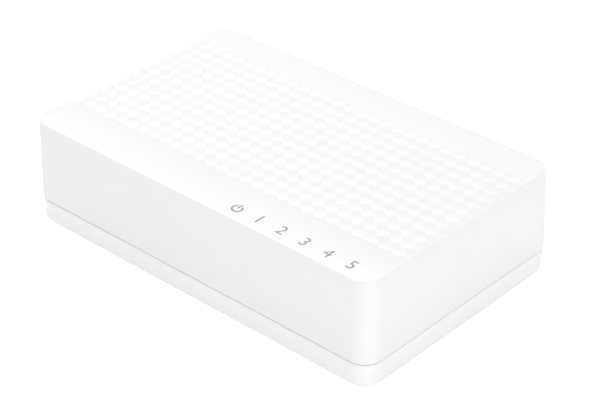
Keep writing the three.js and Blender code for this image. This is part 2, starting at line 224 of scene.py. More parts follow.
def node_box(node):
    """Lowest and highest corner of a CAD node, in millimetres."""
    low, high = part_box(node)
    return low / MM, high / MM

# %% [markdown]
# ## The camera
#
# The box is seen from above its front right corner, from far away through a long lens, so that
# its edges stay nearly parallel. The camera looks from one point to another and is turned a hair
# about its own axis. It comes first, because every later choice is judged through it.

# %% Camera
CAMERA_PLACE = mm(250.044, -267.283, 242.242)
CAMERA_AIM = mm(4.395, -0.799, 13.0)
CAMERA_ROLL = math.radians(-0.49)

clear_selection()
bpy.ops.object.camera_add(location=CAMERA_PLACE)
camera = bpy.context.object
camera.name = "camera"
camera.data.lens = 116.8
camera.data.sensor_width = 36
camera.data.clip_start = 0.01
camera.data.clip_end = 20
aimed = (CAMERA_AIM - CAMERA_PLACE).to_track_quat("-Z", "Y").to_matrix()
camera.rotation_euler = (aimed @ Matrix.Rotation(CAMERA_ROLL, 3, "Z")).to_euler()
bpy.context.scene.camera = camera
bpy.context.view_layer.update()
print("camera points right along", [round(v, 4) for v in camera.matrix_world.to_3x3().col[0]])

# %% [markdown]
# ## Finishes: three shared effects
#
# Moulded plastic, rubber, metal and board all vary a little from place to place: a fine grain
# from the mould or the rolling mill, wide soft patches where the surface has a different sheen,
# and dust that lies on what faces up. Each effect is a node group, built once, so that every
# finish below only gives it sizes and amounts. The groups put out colours, roughness and heights;
# the shader itself stays in each material.

# %% Node group helpers
def new_group(name, inputs, outputs):
    """An empty shader node group with named sockets: name -> (kind, default)."""
    group = bpy.data.node_groups.new(name, "ShaderNodeTree")
    for socket, (kind, default) in inputs.items():
        made = group.interface.new_socket(socket, in_out="INPUT", socket_type="NodeSocket" + kind)
        if default is not None:
            made.default_value = default
    for socket, kind in outputs.items():
        group.interface.new_socket(socket, in_out="OUTPUT", socket_type="NodeSocket" + kind)
    return group, group.nodes.new("NodeGroupInput"), group.nodes.new("NodeGroupOutput")


def add_node(tree, kind, place=(0, 0), settings=None, **values):
    """A node with its settings and the values of its unlinked inputs."""
    node = tree.nodes.new("ShaderNode" + kind)
    node.location = place
    for key, value in (settings or {}).items():
        setattr(node, key, value)
    for key, value in values.items():
        node.inputs[key.replace("_", " ")].default_value = value
    return node


def maths(tree, operation, first, second, clamp=False):
    """A Math node; each side is a socket or a number."""
    node = tree.nodes.new("ShaderNodeMath")
    node.operation = operation
    node.use_clamp = clamp
    for socket, side in zip(node.inputs, (first, second)):
        if isinstance(side, bpy.types.NodeSocket):
            tree.links.new(side, socket)
        else:
            socket.default_value = side
    return node.outputs[0]


def noise(tree, vector, size, detail=2.0):
    """Noise whose features are about `size` across; size is a socket or metres."""
    node = tree.nodes.new("ShaderNodeTexNoise")
    node.inputs["Detail"].default_value = detail
    tree.links.new(vector, node.inputs["Vector"])
    tree.links.new(maths(tree, "DIVIDE", 1.0, size), node.inputs["Scale"])
    return node.outputs["Factor" if "Factor" in node.outputs else "Fac"]


# %% Group: surface variation
variation, given, made = new_group(
    "surface_variation",
    {
        "Vector": ("Vector", None),
        "Color": ("Color", (0.8, 0.8, 0.8, 1)),
        "Roughness": ("Float", 0.5),
        "Grain Size": ("Float", 0.0004),
        "Patch Size": ("Float", 0.02),
        "Tone Spread": ("Float", 0.02),
        "Roughness Spread": ("Float", 0.1),
    },
    {"Color": "Color", "Roughness": "Float", "Height": "Float"},
)
grain = noise(variation, given.outputs["Vector"], given.outputs["Grain Size"])
patches = noise(variation, given.outputs["Vector"], given.outputs["Patch Size"], detail=3.0)
blend = maths(
    variation, "ADD",
    maths(variation, "MULTIPLY", patches, 0.7),
    maths(variation, "MULTIPLY", grain, 0.3))
offset = maths(variation, "SUBTRACT", blend, 0.5)
brightness = maths(variation, "MULTIPLY_ADD", offset, given.outputs["Tone Spread"])
brightness.node.inputs[2].default_value = 1.0
tinted = add_node(variation, "VectorMath", settings={"operation": "SCALE"})
variation.links.new(given.outputs["Color"], tinted.inputs[0])
variation.links.new(brightness, tinted.inputs["Scale"])
rougher = maths(variation, "MULTIPLY", offset, given.outputs["Roughness Spread"])
rough = maths(variation, "ADD", given.outputs["Roughness"], rougher, clamp=True)
variation.links.new(tinted.outputs[0], made.inputs["Color"])
variation.links.new(rough, made.inputs["Roughness"])
variation.links.new(grain, made.inputs["Height"])
print("group", variation.name, len(variation.nodes), "nodes")

# %% Group: settled dust
DUST_COLOR = (0.52, 0.50, 0.46, 1)
CLUMP_SIZE = 0.006

dust, given, made = new_group(
    "settled_dust",
    {
        "Vector": ("Vector", None),
        "Color": ("Color", (0.8, 0.8, 0.8, 1)),
        "Amount": ("Float", 0.05),
    },
    {"Color": "Color"},
)
facing = dust.nodes.new("ShaderNodeNewGeometry")
split = dust.nodes.new("ShaderNodeSeparateXYZ")
dust.links.new(facing.outputs["Normal"], split.inputs[0])
upward = maths(dust, "MULTIPLY", split.outputs["Z"], 1.0, clamp=True)
patchy = noise(dust, given.outputs["Vector"], CLUMP_SIZE, detail=5.0)
clumps = maths(dust, "MULTIPLY_ADD", patchy, 2.2)
clumps.node.inputs[2].default_value = -0.7
clumps.node.use_clamp = True
lying = maths(dust, "MULTIPLY", maths(dust, "MULTIPLY", clumps, upward), given.outputs["Amount"])
dusted = add_node(dust, "Mix", settings={"data_type": "RGBA"})
dusted.inputs[7].default_value = DUST_COLOR
dust.links.new(lying, dusted.inputs[0])
dust.links.new(given.outputs["Color"], dusted.inputs[6])
dust.links.new(dusted.outputs[2], made.inputs["Color"])
print("group", dust.name, len(dust.nodes), "nodes")

# %% Group: drawn lines
# Lines stretched along one axis: brushing on metal, and the weave of tracks under a board's mask.
lines, given, made = new_group(
    "drawn_lines",
    {
        "Vector": ("Vector", None),
        "Along": ("Vector", (1, 1, 0.05)),
        "Line Size": ("Float", 0.0002),
    },
    {"Mask": "Float"},
)
stretch = add_node(lines, "VectorMath", settings={"operation": "MULTIPLY"})
lines.links.new(given.outputs["Vector"], stretch.inputs[0])
lines.links.new(given.outputs["Along"], stretch.inputs[1])
streaks = noise(lines, stretch.outputs[0], given.outputs["Line Size"], detail=4.0)
lines.links.new(streaks, made.inputs["Mask"])
print("group", lines.name, len(lines.nodes), "nodes")


# %% One finish
def finish(name, color, roughness, grain=0.4, patch=18, tone=0.02, spread=0.1, bump=0.01,
           dusty=0.0, drawn=None, **shader_values):
    """A finish: varied colour and roughness, fine bump, dust on top; sizes in millimetres."""
    material = bpy.data.materials.new(name)
    material.use_nodes = True
    tree = material.node_tree
    shader = tree.nodes["Principled BSDF"]
    for socket, value in shader_values.items():
        shader.inputs[socket.replace("_", " ")].default_value = value
    place = add_node(tree, "TexCoord", (-900, 0))
    vary = add_node(
        tree, "Group", (-650, 0), {"node_tree": variation},
        Color=(*color, 1), Roughness=roughness, Grain_Size=grain * MM, Patch_Size=patch * MM,
        Tone_Spread=tone, Roughness_Spread=spread)
    tree.links.new(place.outputs["Object"], vary.inputs["Vector"])
    color_out, height = vary.outputs["Color"], vary.outputs["Height"]
    if dusty:
        lay = add_node(tree, "Group", (-400, 150), {"node_tree": dust}, Amount=dusty)
        tree.links.new(place.outputs["Object"], lay.inputs["Vector"])
        tree.links.new(color_out, lay.inputs["Color"])
        color_out = lay.outputs["Color"]
    if drawn:
        brush = add_node(
            tree, "Group", (-650, -300), {"node_tree": lines}, Along=drawn, Line_Size=0.15 * MM)
        tree.links.new(place.outputs["Object"], brush.inputs["Vector"])
        height = maths(tree, "ADD", height, brush.outputs["Mask"])
    relief = add_node(tree, "Bump", (-250, -200), Strength=0.35, Distance=bump * MM)
    tree.links.new(height, relief.inputs["Height"])
    tree.links.new(relief.outputs["Normal"], shader.inputs["Normal"])
    tree.links.new(color_out, shader.inputs["Base Color"])
    tree.links.new(vary.outputs["Roughness"], shader.inputs["Roughness"])
    return material


# %% [markdown]
# ## The finishes
#
# The case is white ABS from a finely etched mould: satin, and duller in the sunken diamonds,
# whose mould faces were left rough; their colour is also a shade darker, which is painted shade.
# The lower shell comes from its own mould; its white is a shade brighter, which is painted light
# for a shell that faces a little down and sits in the floor's shade. Under the board's green mask
# run copper tracks, the contacts are gold over nickel, and the screws are zinc-plated. Gloss comes
# from roughness alone, so the case looks right from every side.

# %% Plastics and rubber
cover_white = finish(
    "cover_white", (0.86, 0.86, 0.86), 0.36, grain=0.25, tone=0.01, spread=0.06, bump=0.006,
    dusty=0.01)
# Sunken diamonds: rougher for the rough mould face, and a shade darker in colour, which is painted
# shade for the pockets.
pocket_white_painted_shade = finish(
    "pocket_white_painted_shade", (0.822, 0.822, 0.824), 0.6, grain=0.12, tone=0.02, spread=0.1, bump=0.01)
# Lower shell: a shade brighter than the cover's white, which is painted light making up for the
# shell facing a little down into the floor's shade.
base_white = finish(
    "base_white", (0.89, 0.89, 0.89), 0.42, grain=0.3, tone=0.015, spread=0.08, bump=0.01)
mark_grey = finish(
    "mark_grey", (0.30, 0.30, 0.305), 0.55, grain=0.08, tone=0.1, spread=0.1, bump=0.004)
jack_black = finish(
    "jack_black", (0.014, 0.014, 0.015), 0.38, grain=0.3, tone=0.3, spread=0.15, bump=0.015,
    dusty=0.04)
foot_rubber = finish(
    "foot_rubber", (0.085, 0.087, 0.09), 0.85, grain=0.18, tone=0.25, spread=0.1, bump=0.05)
lamp_clear = finish(
    "lamp_clear", (0.86, 0.80, 0.55), 0.3, grain=0.1, tone=0.05, bump=0.003,
    Transmission_Weight=0.35)
guide_clear = finish(
    "guide_clear", (0.93, 0.96, 0.97), 0.12, grain=1.0, tone=0.01, bump=0.004,
    Transmission_Weight=0.9)
chip_black = finish(
    "chip_black", (0.022, 0.022, 0.024), 0.62, grain=0.09, patch=4, tone=0.3, bump=0.02,
    dusty=0.05)
capacitor_sleeve = finish(
    "capacitor_sleeve", (0.62, 0.63, 0.66), 0.35, patch=5, tone=0.06, bump=0.01, Metallic=0.9)
ceramic_blue = finish("ceramic_blue", (0.03, 0.10, 0.36), 0.3, patch=3, tone=0.15, bump=0.03)
ferrite_grey = finish(
    "ferrite_grey", (0.045, 0.046, 0.05), 0.7, grain=0.15, patch=3, tone=0.3, bump=0.03)
label_paper = finish(
    "label_paper", (0.60, 0.61, 0.62), 0.5, grain=0.06, patch=12, tone=0.03, bump=0.004)
label_ink = finish(
    "label_ink", (0.06, 0.06, 0.065), 0.55, grain=0.06, patch=6, tone=0.2, bump=0.002)

# %% Metals and board
contact_gold = finish(
    "contact_gold", (0.95, 0.72, 0.32), 0.38, grain=0.1, patch=1.5, tone=0.12, spread=0.15,
    bump=0.004, drawn=(1, 0.05, 1), Metallic=1.0)
contact_nickel = finish(
    "contact_nickel", (0.70, 0.68, 0.64), 0.26, grain=0.1, patch=2, tone=0.1, spread=0.15,
    bump=0.004, drawn=(1, 0.05, 1), Metallic=1.0)
screw_steel = finish(
    "screw_steel", (0.62, 0.63, 0.65), 0.32, grain=0.12, patch=1.5, tone=0.15, spread=0.2,
    bump=0.01, drawn=(1, 1, 0.05), Metallic=1.0)
can_metal = finish(
    "can_metal", (0.66, 0.66, 0.67), 0.3, grain=0.12, patch=3, tone=0.1, spread=0.15, bump=0.008,
    drawn=(0.05, 1, 1), Metallic=1.0)
board_green = finish(
    "board_green", (0.012, 0.13, 0.055), 0.33, grain=0.2, patch=6, tone=0.25, spread=0.1,
    bump=0.02, dusty=0.03, drawn=(1, 0.08, 1))

# The mortar lines of a brick pattern are the tracks.
tree = board_green.node_tree
tracks = add_node(
    tree, "TexBrick", (-650, 350), {"offset": 0.37},
    Scale=1.0, Mortar_Size=0.00012, Mortar_Smooth=0.2)
tracks.inputs["Brick Width"].default_value = 0.0061
tracks.inputs["Row Height"].default_value = 0.0009
tracks.inputs["Color1"].default_value = (0, 0, 0, 1)
tracks.inputs["Color2"].default_value = (0, 0, 0, 1)
tracks.inputs["Mortar"].default_value = (1, 1, 1, 1)
copper = add_node(tree, "Mix", (-200, 300), {"data_type": "RGBA"})
copper.inputs[7].default_value = (0.05, 0.24, 0.09, 1)
shader = tree.nodes["Principled BSDF"]
green_before = shader.inputs["Base Color"].links[0].from_socket
tree.links.new(tree.nodes["Texture Coordinate"].outputs["Object"], tracks.inputs["Vector"])
tree.links.new(tracks.outputs["Color"], copper.inputs[0])
tree.links.new(green_before, copper.inputs[6])
tree.links.new(copper.outputs[2], shader.inputs["Base Color"])
print("finishes", len([m for m in bpy.data.materials if m.use_nodes]))

# %% [markdown]
# ## Top cover: the walls
#
# The cover is a deep lid with round corners. Its walls lean in a little as they rise, so that it
# slides out of its mould. A block gets its four upright edges rounded, its underside is inset by
# the wall's thickness and pushed up to make it hollow, and its top is resized to lean the walls.
# Rounding the top edge after that keeps the round the same width all the way, which is what
# catches the thin line of light.

# %% Outline of the cover
WALL = 2.0
CORNER = 4.5
TOP_ROUND = 0.45
LOWER_ROUND = 0.12
LEAN = math.tan(math.radians(1.2))

cover_low, cover_high = node_box("top_cover")
half_x, half_y = cover_high.x, cover_high.y
part_z, top_z = cover_low.z, cover_high.z
ceiling_z = top_z - WALL
print("cover", [round(v, 2) for v in cover_high - cover_low], "from height", round(part_z, 2))


def is_corner(point, x, y):
    """True near the corner of a rectangle of half sizes x and y."""
    return abs(abs(point.x) - x) < 0.01 and abs(abs(point.y) - y) < 0.01


def outside(point):
    """How far a point lies outside the straight-sided core of the case, round its corners too."""
    past_x = max(abs(point.x) - half_x + CORNER, 0)
    past_y = max(abs(point.y) - half_y + CORNER, 0)
    return math.hypot(past_x, past_y)


cover = add_block("top_cover_shell", cover_low * MM, cover_high * MM)
edit(cover)
upright = select_edges(
    cover, lambda a, b, bend: abs(a.z - b.z) > 1 and is_corner(a, half_x, half_y))
soften(CORNER, 12)
select_faces(cover, lambda c, n: n.z < -0.9)
bpy.ops.mesh.inset(thickness=WALL * MM, depth=0)
pull_out((0, 0, (ceiling_z - part_z) * MM))
for height, x, y, facing in ((top_z, half_x, half_y, 1),
                             (ceiling_z, half_x - WALL, half_y - WALL, -1)):
    lean = LEAN * (height - part_z)
    select_faces(cover, lambda c, n: n.z * facing > 0.9 and abs(c.z - height) < 0.1)
    scale_about((0, 0, height), (1 - lean / x, 1 - lean / y, 1))
rim = select_edges(cover, lambda a, b, bend: min(a.z, b.z) > top_z - 0.01)
soften(TOP_ROUND, 4)
select_edges(
    cover, lambda a, b, bend: max(a.z, b.z) < part_z + 0.01
    and min(outside(a), outside(b)) > CORNER - 0.1)
soften(LOWER_ROUND, 2)
done()
print("upright edges", upright, "rim edges", rim)

# %% [markdown]
# ## Top cover: bosses, windows and socket notches
#
# Inside, two bosses take the screws and a rib ties each to the end wall. Over every lamp the roof
# is thinned to a window that light can shine through. The back wall is open below the sockets, so
# that the cover can drop over them. These cross the walls, so they are joined and cut as solids.

# %% Bosses and cuts
SCREWS = ((-42, -8), (42, -8))
LAMPS = [10.9 + 6.26 * i for i in range(6)]
LAMP_Y = -26.8
END_WALL = 49
BOSS_RADIUS = 3
PILOT_RADIUS = 1.5
RIB_WIDTH = 1.5
WINDOW_RADIUS = 1.5
WINDOW_ROOF = 0.8
NOTCHES = {"sockets": (-45.8, 34.6, 20.9), "power": (36.7, 46.3, 18.5)}

for x, y in SCREWS:
    side = math.copysign(1, x)
    boss = add_rod("boss", BOSS_RADIUS * MM, mm(x, y, 7.5), mm(x, y, top_z - 1), 28)
    near, far = sorted((x, side * END_WALL))
    rib = add_block("rib", mm(near, y - RIB_WIDTH / 2, 9.1), mm(far, y + RIB_WIDTH / 2, top_z - 1))
    cut(cover, boss, rib, operation="UNION")
    cut(cover, add_rod("pilot", PILOT_RADIUS * MM, mm(x, y, 6), mm(x, y, 16), 20))
for x in LAMPS:
    low, high = mm(x, LAMP_Y, ceiling_z - 1), mm(x, LAMP_Y, top_z - WINDOW_ROOF)
    cut(cover, add_rod("window", WINDOW_RADIUS * MM, low, high, 20))
for x0, x1, roof in NOTCHES.values():
    notch = add_block("notch", mm(x0, 27, part_z - 1), mm(x1, 32, roof))
    edit(notch)
    select_edges(notch, lambda a, b, bend: abs(a.y - b.y) > 1 and min(a.z, b.z) > roof - 0.1)
    soften(0.5, 4)
    done()
    cut(cover, notch)
print("cover faces so far", len(cover.data.polygons))

# %% [markdown]
# ## Top cover: the diamond band
#
# A band of small diamonds crosses the whole lid: raised ones in a square lattice and shallow
# pockets between them. A plane grid turned by 45 degrees is exactly that lattice. It is bisected
# to the band's size, every other cell is inset and pushed down, and the ring between the band and
# the lid's rim is filled. The pockets' walls slope, so that they read as soft facets.

# %% A grid turned by 45 degrees
PITCH = 3.46
STRETCH = (1.011, 0.98)
MIDDLE_CELL = (0.58, 0.02)
CELLS = 43
band_front, band_back = -19.23, 21.4
band_side = half_x - LEAN * (top_z - part_z) - TOP_ROUND - 0.06

clear_selection()
cell = PITCH / math.sqrt(2)
bpy.ops.mesh.primitive_grid_add(
    x_subdivisions=CELLS, y_subdivisions=CELLS, size=cell * CELLS * MM,
    location=(0, 0, top_z * MM), rotation=(0, 0, math.radians(45)))
band = settle(bpy.context.object, "diamond_band")
band.scale = (*STRETCH, 1)
band.location = mm(*MIDDLE_CELL, 0)
settle(band, "diamond_band")
print("grid cells", len(band.data.polygons), "wanted", CELLS ** 2)

# %% Trim the band and sink the pockets
POCKET_SINK = 0.11
POCKET_EDGE = 0.22


def is_pocket(c):
    """True in the cells that lie between the raised diamonds."""
    right, back = ((c[i] - MIDDLE_CELL[i]) / PITCH / STRETCH[i] for i in (0, 1))
    return (round(right + back) + round(right - back)) % 2 == 1 and abs(c.x) < half_x - 1.8


edit(band)
for place, way in (((0, band_front, 0), (0, -1, 0)), ((0, band_back, 0), (0, 1, 0)),
                   ((-band_side, 0, 0), (-1, 0, 0)), ((band_side, 0, 0), (1, 0, 0))):
    bpy.ops.mesh.select_all(action="SELECT")
    bpy.ops.mesh.bisect(
        plane_co=Vector(place) * MM, plane_no=way, clear_outer=True, threshold=0.001 * MM)
pockets = select_faces(band, lambda c, n: is_pocket(c))
bpy.ops.mesh.inset(thickness=POCKET_EDGE * MM, depth=-POCKET_SINK * MM, use_individual=True)
done()
print("pockets", pockets, "faces", len(band.data.polygons))

# %% Join the band to the lid
edit(cover)
select_faces(cover, lambda c, n: n.z > 0.99 and c.z > top_z - 0.01)
bpy.ops.mesh.delete(type="ONLY_FACE")
done()
cover = merge_pieces("top_cover_shell", cover, band)
edit(cover)
bpy.ops.mesh.select_mode(type="EDGE")
bpy.ops.mesh.select_all(action="DESELECT")
bpy.ops.mesh.select_non_manifold(
    extend=False, use_wire=False, use_boundary=True, use_multi_face=False,
    use_non_contiguous=False, use_verts=False)
bpy.ops.mesh.fill(use_beauty=True)
bpy.ops.mesh.select_all(action="SELECT")
bpy.ops.mesh.normals_make_consistent(inside=False)
mesh = bmesh.from_edit_mesh(cover.data)
print("open edges left", sum(1 for e in mesh.edges if not e.is_manifold))
done()

# %% [markdown]
# ## Lamp marks
#
# Over each lamp the lid carries a small grey mark: a power sign, then the port's number. They are
# pad-printed into shallow grooves. Each mark is a solid of its own, and a slightly deeper copy of
# all of them cuts the grooves, so the print sits a hair below the surface and keeps crisp edges.
# The numbers start as text, made a mesh at once; the power sign is a ring with a gap and a bar.

# %% Marks
MARK_HEIGHT = 2.9
MARK_DEPTH = 0.2
PRINT_BELOW = 0.03
CAP_HEIGHT = 0.72  # a capital's height as a share of the type size
RING_RADIUS = 1.15
PEN = 0.42


def raise_flat(piece, height):
    """Turn a flat mesh into a solid of that height, in millimetres."""
    edit(piece)
    bpy.ops.mesh.select_all(action="SELECT")
    pull_out((0, 0, height * MM))
    bpy.ops.mesh.select_all(action="SELECT")
    bpy.ops.mesh.remove_doubles(threshold=0.001 * MM)
    bpy.ops.mesh.normals_make_consistent(inside=False)
    done()


def number_mark(digit, x):
    """A digit lying on the lid, centred on its lamp."""
    clear_selection()
    bpy.ops.object.text_add()
    words = bpy.context.object
    words.data.body = str(digit)
    words.data.size = MARK_HEIGHT * MM / CAP_HEIGHT
    words.data.align_x = "CENTER"
    words.data.align_y = "CENTER"
    words.data.resolution_u = 5
    bpy.ops.object.convert(target="MESH")
    words = bpy.context.object
    corners = [v.co for v in words.data.vertices]
    middle = [(max(c[i] for c in corners) + min(c[i] for c in corners)) / 2 for i in (0, 1)]
    grown = MARK_HEIGHT * MM / (max(c[1] for c in corners) - min(c[1] for c in corners))
    words.scale = (grown, grown, 1)
    words.location = (
        x * MM - middle[0] * grown, LAMP_Y * MM - middle[1] * grown, (top_z - MARK_DEPTH) * MM)
    return settle(words, f"lamp_mark_{digit}")


def power_mark(x):
    """A ring with a gap at its top and a short bar in the gap."""
    clear_selection()
    bpy.ops.mesh.primitive_circle_add(
        vertices=48, radius=(RING_RADIUS + PEN / 2) * MM, fill_type="NGON",
        location=mm(x, LAMP_Y - 0.15, top_z - MARK_DEPTH))
    ring = settle(bpy.context.object, "lamp_mark_power")
    edit(ring)
    bpy.ops.mesh.select_all(action="SELECT")
    bpy.ops.mesh.inset(thickness=PEN * MM, depth=0)
    bpy.ops.mesh.delete(type="FACE")
    select_faces(ring, lambda c, n: abs(c.x - x) < 0.52 and c.y > LAMP_Y)
    bpy.ops.mesh.delete(type="FACE")
    done()
    clear_selection()
    bpy.ops.mesh.primitive_plane_add(size=1, location=mm(x, LAMP_Y + 0.75, top_z - MARK_DEPTH))
    bar = bpy.context.object
    bar.scale = (PEN * MM, 1.45 * MM, 1)
    return merge_pieces("lamp_mark_power", ring, settle(bar, "bar"))


mark_pieces = [power_mark(LAMPS[0])] + [number_mark(i, LAMPS[i]) for i in range(1, 6)]
grooves = []
for piece in mark_pieces:
    groove = copy_piece(piece, "groove", (0, 0, 0))
    raise_flat(groove, MARK_DEPTH + 0.3)
    grooves.append(groove)
    raise_flat(piece, MARK_DEPTH - PRINT_BELOW)
    finish_piece(piece, "case", mark_grey, ())
cut(cover, merge_pieces("grooves", *grooves))

# %% Finish the cover
cover.data.materials.append(cover_white)
cover.data.materials.append(pocket_white_painted_shade)
edit(cover)
floors = select_faces(
    cover, lambda c, n: n.z > 0.99 and abs(c.z - top_z + POCKET_SINK) < 0.02 and c.y > band_front)
cover.active_material_index = 1
bpy.ops.object.material_slot_assign()
done()
print("pocket floors", floors)
finish_piece(cover, "case", cover_white, ("top_cover",))

# %% [markdown]
# ## Lower shell
#
# The lower shell is a tray that the cover drops over. It steps in a little below the part line,
# so a thin dark line runs round the case, and its walls draw in towards the floor. One block
# becomes the ledge, the locating lip and the hollow: its top face is inset and pulled up, then
# inset again and pushed down. Sills close the space under the sockets, posts carry the board, and
# the underside has vents, keyholes for two wall screws, and recesses for the feet, the label and
# the screw heads.

# %% Tray
STEP = 0.2
LIP = 0.8
LIP_INSIDE = 3.1
LEDGE_Z = 6.85
FLOOR_Z = 3.0
BASE_LEAN = math.tan(math.radians(1.2))
BASE_ROUND = 1.0
base_low, base_high = node_box("bottom_case")
tray_x, tray_y = half_x - STEP, half_y - STEP
ledge = LIP_INSIDE - STEP - LIP

base = add_block(
    "bottom_case_tray", mm(-tray_x, -tray_y, base_low.z), mm(tray_x, tray_y, LEDGE_Z))
edit(base)
select_edges(base, lambda a, b, bend: abs(a.z - b.z) > 1 and is_corner(a, tray_x, tray_y))
soften(CORNER - STEP, 12)
select_faces(base, lambda c, n: n.z < -0.9)
draw_in = BASE_LEAN * (LEDGE_Z - base_low.z)
scale_about((0, 0, base_low.z), (1 - draw_in / tray_x, 1 - draw_in / tray_y, 1))
select_edges(base, lambda a, b, bend: max(a.z, b.z) < base_low.z + 0.01)
soften(BASE_ROUND, 5)
select_faces(base, lambda c, n: n.z > 0.9 and c.z > LEDGE_Z - 0.01)
bpy.ops.mesh.inset(thickness=ledge * MM, depth=0)
pull_out((0, 0, (base_high.z - LEDGE_Z) * MM))
bpy.ops.mesh.inset(thickness=LIP * MM, depth=0)
pull_out((0, 0, (FLOOR_Z - base_high.z) * MM))
select_edges(
    base, lambda a, b, bend: abs(a.z - LEDGE_Z) < 0.01 and abs(b.z - LEDGE_Z) < 0.01
    and bend > 60 and outside(a) > CORNER - STEP - 0.2)
soften(LOWER_ROUND, 2)
done()
print("tray", round(2 * tray_x, 2), "by", round(2 * tray_y, 2))

# %% Sills, posts and holes
# Each post is a place and a radius; the wide ones carry the screws.
BOARD_POSTS = ((-42, 12, 2.5), (42, 12, 2.5), (-42, -23, 2.5), (42, -23, 2.5),
               (-42, -8, 4.3), (42, -8, 4.3))
FEET = {"front_left": (-40, -22), "front_right": (40, -22),
        "back_left": (-40, 22), "back_right": (40, 22)}
SILLS = ((-45.4, 34.2), (37, 46))
VENT_PITCH = 4
KEYHOLES = (-25, 25)
LABEL_Y = -21
FOOT_RADIUS = 5
HEAD_RADIUS = 2.8
RECESS_GAP = 0.3


def slot_cutter(name, x, y, length, depth, corner, low, high, segments=6):
    """An upright block with round corners, for slots and recesses."""
    piece = add_block(
        name, mm(x - length / 2, y - depth / 2, low), mm(x + length / 2, y + depth / 2, high))
    edit(piece)
    select_edges(piece, lambda a, b, bend: abs(a.z - b.z) > 0.01)
    soften(corner, segments)
    if corner * 2 >= min(length, depth) - 0.01:
        bpy.ops.mesh.select_all(action="SELECT")
        bpy.ops.mesh.remove_doubles(threshold=0.002 * MM)
    done()
    return piece


cut(base, add_block("lip_gap", mm(-46.2, 25, LEDGE_Z), mm(46.4, 31, 9)))
for x0, x1 in SILLS:
    cut(base, add_block("sill", mm(x0, 28.3, 5.8), mm(x1, 30.3, 6.9)), operation="UNION")
for x, y, radius in BOARD_POSTS:
    cut(base, add_rod("post", radius * MM, mm(x, y, 2), mm(x, y, 5.2), 28), operation="UNION")
vent = slot_cutter("vent", 0, 2, 1.8, 20, 0.9, 0, 7)
vents = [vent] + [copy_piece(vent, "vent", (VENT_PITCH * i, 0, 0)) for i in range(-4, 5) if i]
cut(base, merge_pieces("vents", *vents))
for x in KEYHOLES:
    cut(base, add_rod("keyhole", 3.6 * MM, mm(x, -2, 0), mm(x, -2, 7), 36),
        slot_cutter("keyhole_neck", x, 1.6, 3.6, 9, 1.8, 0, 7))
for x, y in FEET.values():
    cut(base, add_rod(
        "foot_recess", (FOOT_RADIUS + RECESS_GAP) * MM, mm(x, y, 0), mm(x, y, 1.5), 48))
for x, y in SCREWS:
    cut(base,
        add_rod("head_recess", (HEAD_RADIUS + RECESS_GAP) * MM, mm(x, y, 0), mm(x, y, 3.4), 32),
        add_rod("screw_hole", PILOT_RADIUS * MM, mm(x, y, 0), mm(x, y, 7), 20))
cut(base, slot_cutter("label_recess", 0, LABEL_Y, 44.6, 9.6, 1.3, 0, 1.5))
finish_piece(base, "case", base_white, ("bottom_case",))

# %% [markdown]
# ## Feet, label and screws
#
# Four rubber feet stand in round recesses: low discs with a rounded rim and a shallow dish that
# grips. The rating label is a thin film with a printed frame and divider lines and no lettering.
# Two pan-head screws come up through the base into the cover's bosses.

# %% Feet
x, y = FEET["front_left"]
foot_top = node_box("foot_front_left")[1].z
foot = add_rod("foot_front_left_pad", FOOT_RADIUS * MM, mm(x, y, 0), mm(x, y, foot_top), 48)
edit(foot)
select_faces(foot, lambda c, n: n.z < -0.9)
bpy.ops.mesh.inset(thickness=1.3 * MM, depth=0)
bpy.ops.mesh.inset(thickness=0.4 * MM, depth=-0.2 * MM)
select_edges(
    foot, lambda a, b, bend: max(a.z, b.z) < 0.01
    and math.hypot(a.x - x, a.y - y) > FOOT_RADIUS - 0.1)
soften(0.4, 4)
done()
for place, (to_x, to_y) in FEET.items():
    pad = foot
    if place != "front_left":
        pad = copy_piece(foot, f"foot_{place}_pad", (to_x - x, to_y - y, 0))
    finish_piece(pad, "case", foot_rubber, (f"foot_{place}",))

# %% Rating label
DIVIDER_X = 9.325
FRAME_X, FRAME_Y = 21.4, 3.9

label_low, label_high = node_box("rating_label")
label = add_block("rating_label_film", label_low * MM, label_high * MM)
label.data.materials.append(label_paper)
label.data.materials.append(label_ink)
edit(label)
select_edges(label, lambda a, b, bend: abs(a.z - b.z) > 0.01)
soften(1.0, 6)
select_faces(label, lambda c, n: n.z < -0.9)
bpy.ops.mesh.inset(thickness=0.5 * MM, depth=0)
bpy.ops.mesh.inset(thickness=0.2 * MM, depth=0)
for x in (-9.4, -9.25, 9.25, 9.4):
    select_faces(label, lambda c, n: n.z < -0.9 and abs(c.y - LABEL_Y) < 3)
    bpy.ops.mesh.bisect(plane_co=mm(x, 0, 0), plane_no=(1, 0, 0), threshold=0.001 * MM)


def is_inked(middle):
    """Whether a face of the film lies on a divider line, the frame or the frame's corners."""
    x, y = abs(middle.x), abs(middle.y - LABEL_Y)
    on_line = min(abs(x - DIVIDER_X), abs(x - FRAME_X), abs(y - FRAME_Y)) < 0.05
    return on_line or (20.9 < x < FRAME_X and y > 3.4)


ink = select_faces(label, lambda c, n: n.z < -0.9 and is_inked(c))
label.active_material_index = 1
bpy.ops.object.material_slot_assign()
done()
print("inked faces", ink)
finish_piece(label, "case", label_paper, ("rating_label",))

# %% Case screws
HEAD_HEIGHT = 1.8
SHANK = 8

